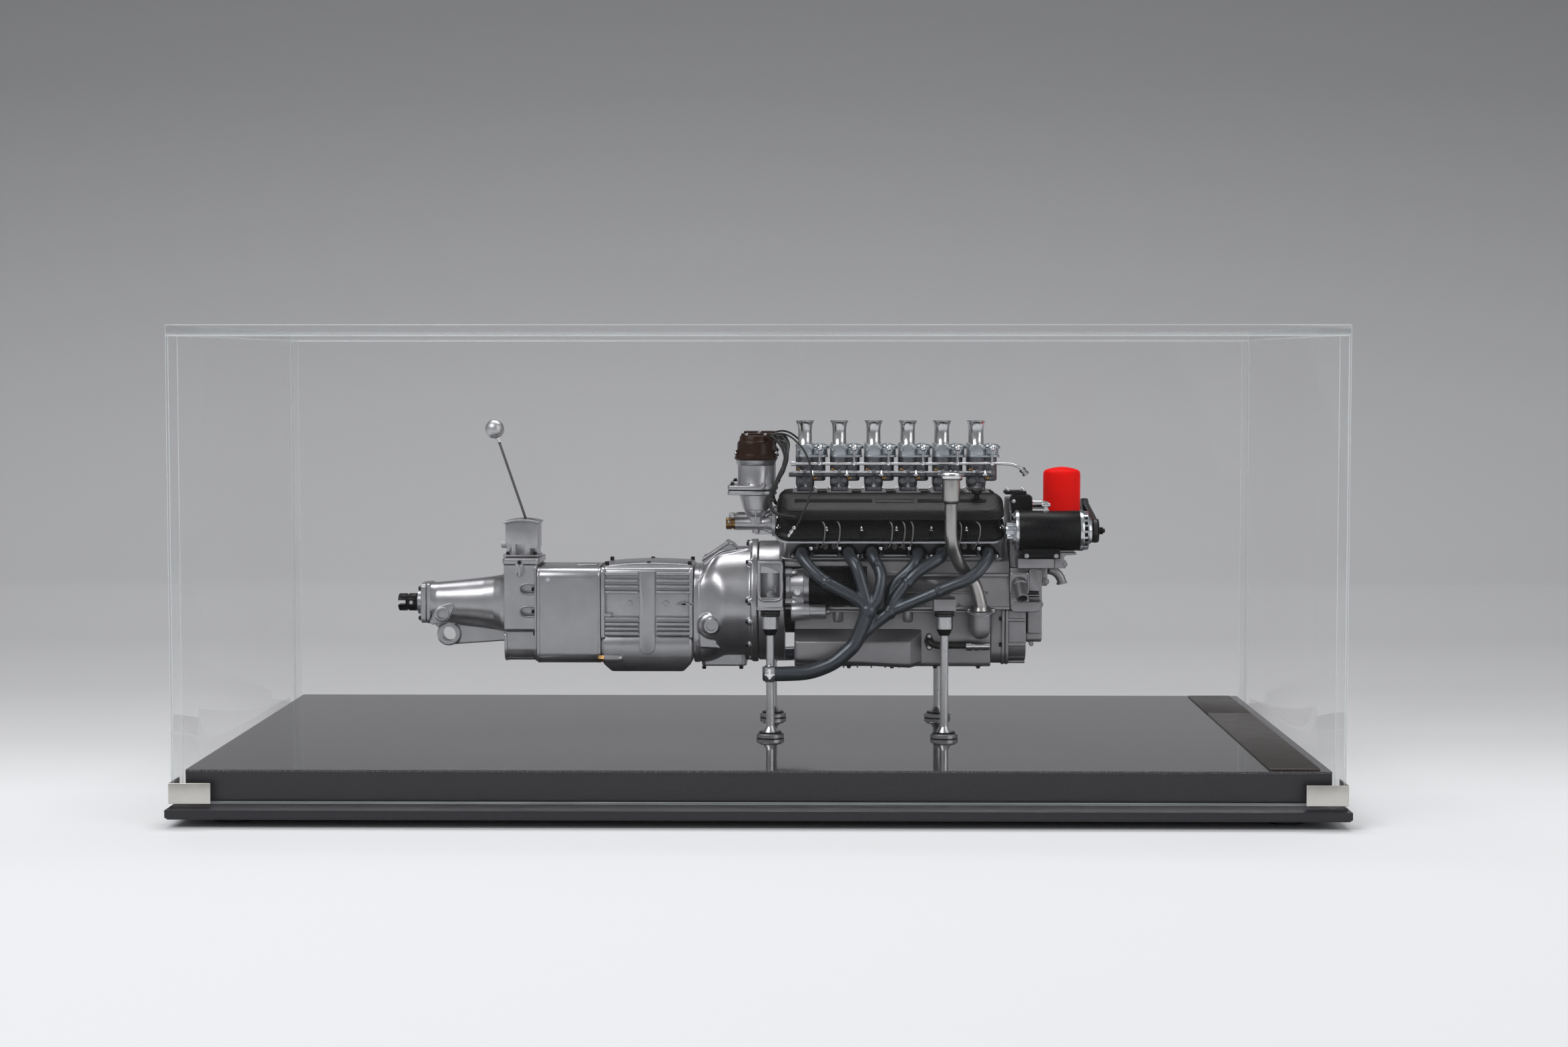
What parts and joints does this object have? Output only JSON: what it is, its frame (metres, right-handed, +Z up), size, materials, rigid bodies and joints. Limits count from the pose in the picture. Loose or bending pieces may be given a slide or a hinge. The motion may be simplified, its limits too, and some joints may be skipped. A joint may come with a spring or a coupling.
{
  "type": "engine display model",
  "caption": "Quarter-scale four stroke V-engine with clutch housing and gearbox, on posts on a plinth under a clear lift-off cover.",
  "frame": {"origin": "on the floor under the middle of the base plate", "axes": "+X from the gearbox to the front of the engine, +Y to the far bank, +Z up"},
  "size_m": [0.7, 0.385, 0.297],
  "materials": {
    "satin_black": "satin paint",
    "woven_deck": "gloss lacquer over fine black weave",
    "plaque_bronze": "brushed, dark bronze tint",
    "clear_acrylic": "polished clear acrylic",
    "satin_steel": "satin",
    "turned_steel": "turned, satin",
    "cast_silver": "fine cast, satin silver",
    "cast_grey": "fine cast, darker grey",
    "crackle_black": "fine crackle black",
    "zinc_plate": "blue-grey zinc plate",
    "bright_plate": "bright plated",
    "brown_bakelite": "dark brown moulding",
    "black_rubber": "matte",
    "exhaust_coating": "satin blue-grey coating",
    "filter_red": "gloss red paint",
    "black_enamel": "semi-gloss enamel"
  },
  "bodies": {
    "root": {"base_plate": "satin_black", "plinth_block": "satin_black", "deck_panel": "woven_deck", "plaque_front": "plaque_bronze", "plaque_rear": "plaque_bronze", "post_rear_near": "turned_steel", "post_rear_far": "turned_steel", "post_front_near": "turned_steel", "post_front_far": "turned_steel", "crankcase": "cast_grey", "sump": "cast_grey", "timing_cover": "cast_grey", "dynamo": "black_enamel", "drive_belt": "black_rubber", "oil_filter": "filter_red", "starter_motor": "black_enamel", "inlet_manifold": "cast_silver", "fuel_rail": "bright_plate", "filler_tube": "turned_steel", "clutch_housing": "cast_silver", "bell_housing": "cast_silver", "gearbox_case": "cast_silver", "middle_case": "cast_silver", "tail_casing": "cast_silver", "rear_plate": "cast_silver", "selector_turret": "cast_silver", "head_near": "cast_silver", "cam_cover_near": "crackle_black", "distributor_near": "cast_silver", "cap_near": "brown_bakelite", "lead_loom_near": "black_rubber", "exhaust_near": "exhaust_coating", "head_far": "cast_silver", "cam_cover_far": "crackle_black", "distributor_far": "cast_silver", "cap_far": "brown_bakelite", "lead_loom_far": "black_rubber", "exhaust_far": "exhaust_coating", "carburettor_1": "zinc_plate", "carburettor_2": "zinc_plate", "carburettor_3": "zinc_plate", "carburettor_4": "zinc_plate", "carburettor_5": "zinc_plate", "carburettor_6": "zinc_plate"},
    "cover": {"cover_front": "clear_acrylic", "cover_back": "clear_acrylic", "cover_left": "clear_acrylic", "cover_right": "clear_acrylic", "cover_top": "clear_acrylic", "bracket_front_left": "satin_steel", "bracket_back_left": "satin_steel", "bracket_front_right": "satin_steel", "bracket_back_right": "satin_steel"},
    "lever_swivel": {"lever_ball": "turned_steel"},
    "lever": {"gear_lever": "bright_plate"},
    "output": {"output_shaft": "black_enamel"},
    "main_drive": {"main_pulley": "black_enamel"},
    "dynamo_drive": {"dynamo_pulley": "black_enamel"},
    "throttle": {"throttle_shaft": "bright_plate"},
    "filler_lid": {"filler_cap": "bright_plate"}
  },
  "joints": [
    {"name": "cover_lift", "type": "slide", "parent": "root", "child": "cover", "axis": [0, 0, 1], "range_m": [0, 0.3]},
    {"name": "lever_gate", "type": "hinge", "parent": "root", "child": "lever_swivel", "pos_m": [-0.156, 0.011, 0.167], "axis": [1, 0, 0], "range_deg": [-8, 8]},
    {"name": "lever_shift", "type": "hinge", "parent": "lever_swivel", "child": "lever", "pos_m": [-0.156, 0.011, 0.167], "axis": [0, 1, 0], "range_deg": [-8, 8]},
    {"name": "output_turn", "type": "hinge", "parent": "root", "child": "output", "pos_m": [-0.1861, 0.011, 0.1165], "axis": [1, 0, 0], "continuous": true},
    {"name": "main_pulley_turn", "type": "hinge", "parent": "root", "child": "main_drive", "pos_m": [0.2039, 0.0413, 0.17048], "axis": [1, 0, 0], "continuous": true},
    {"name": "dynamo_turn", "type": "hinge", "parent": "root", "child": "dynamo_drive", "pos_m": [0.2039, -0.029, 0.1666], "axis": [1, 0, 0], "continuous": true},
    {"name": "throttle_turn", "type": "hinge", "parent": "root", "child": "throttle", "pos_m": [0.0839, -0.0094, 0.2035], "axis": [1, 0, 0], "range_deg": [0, 60], "stiffness_Nm_per_rad": 0.0002, "springref_deg": -17.19},
    {"name": "filler_cap_lift", "type": "slide", "parent": "root", "child": "filler_lid", "axis": [0, 0, 1], "range_m": [0, 0.015]}
  ],
  "couplings": [
    {"joint": "dynamo_turn", "follows": "main_pulley_turn", "ratio": 2.1346}
  ]
}
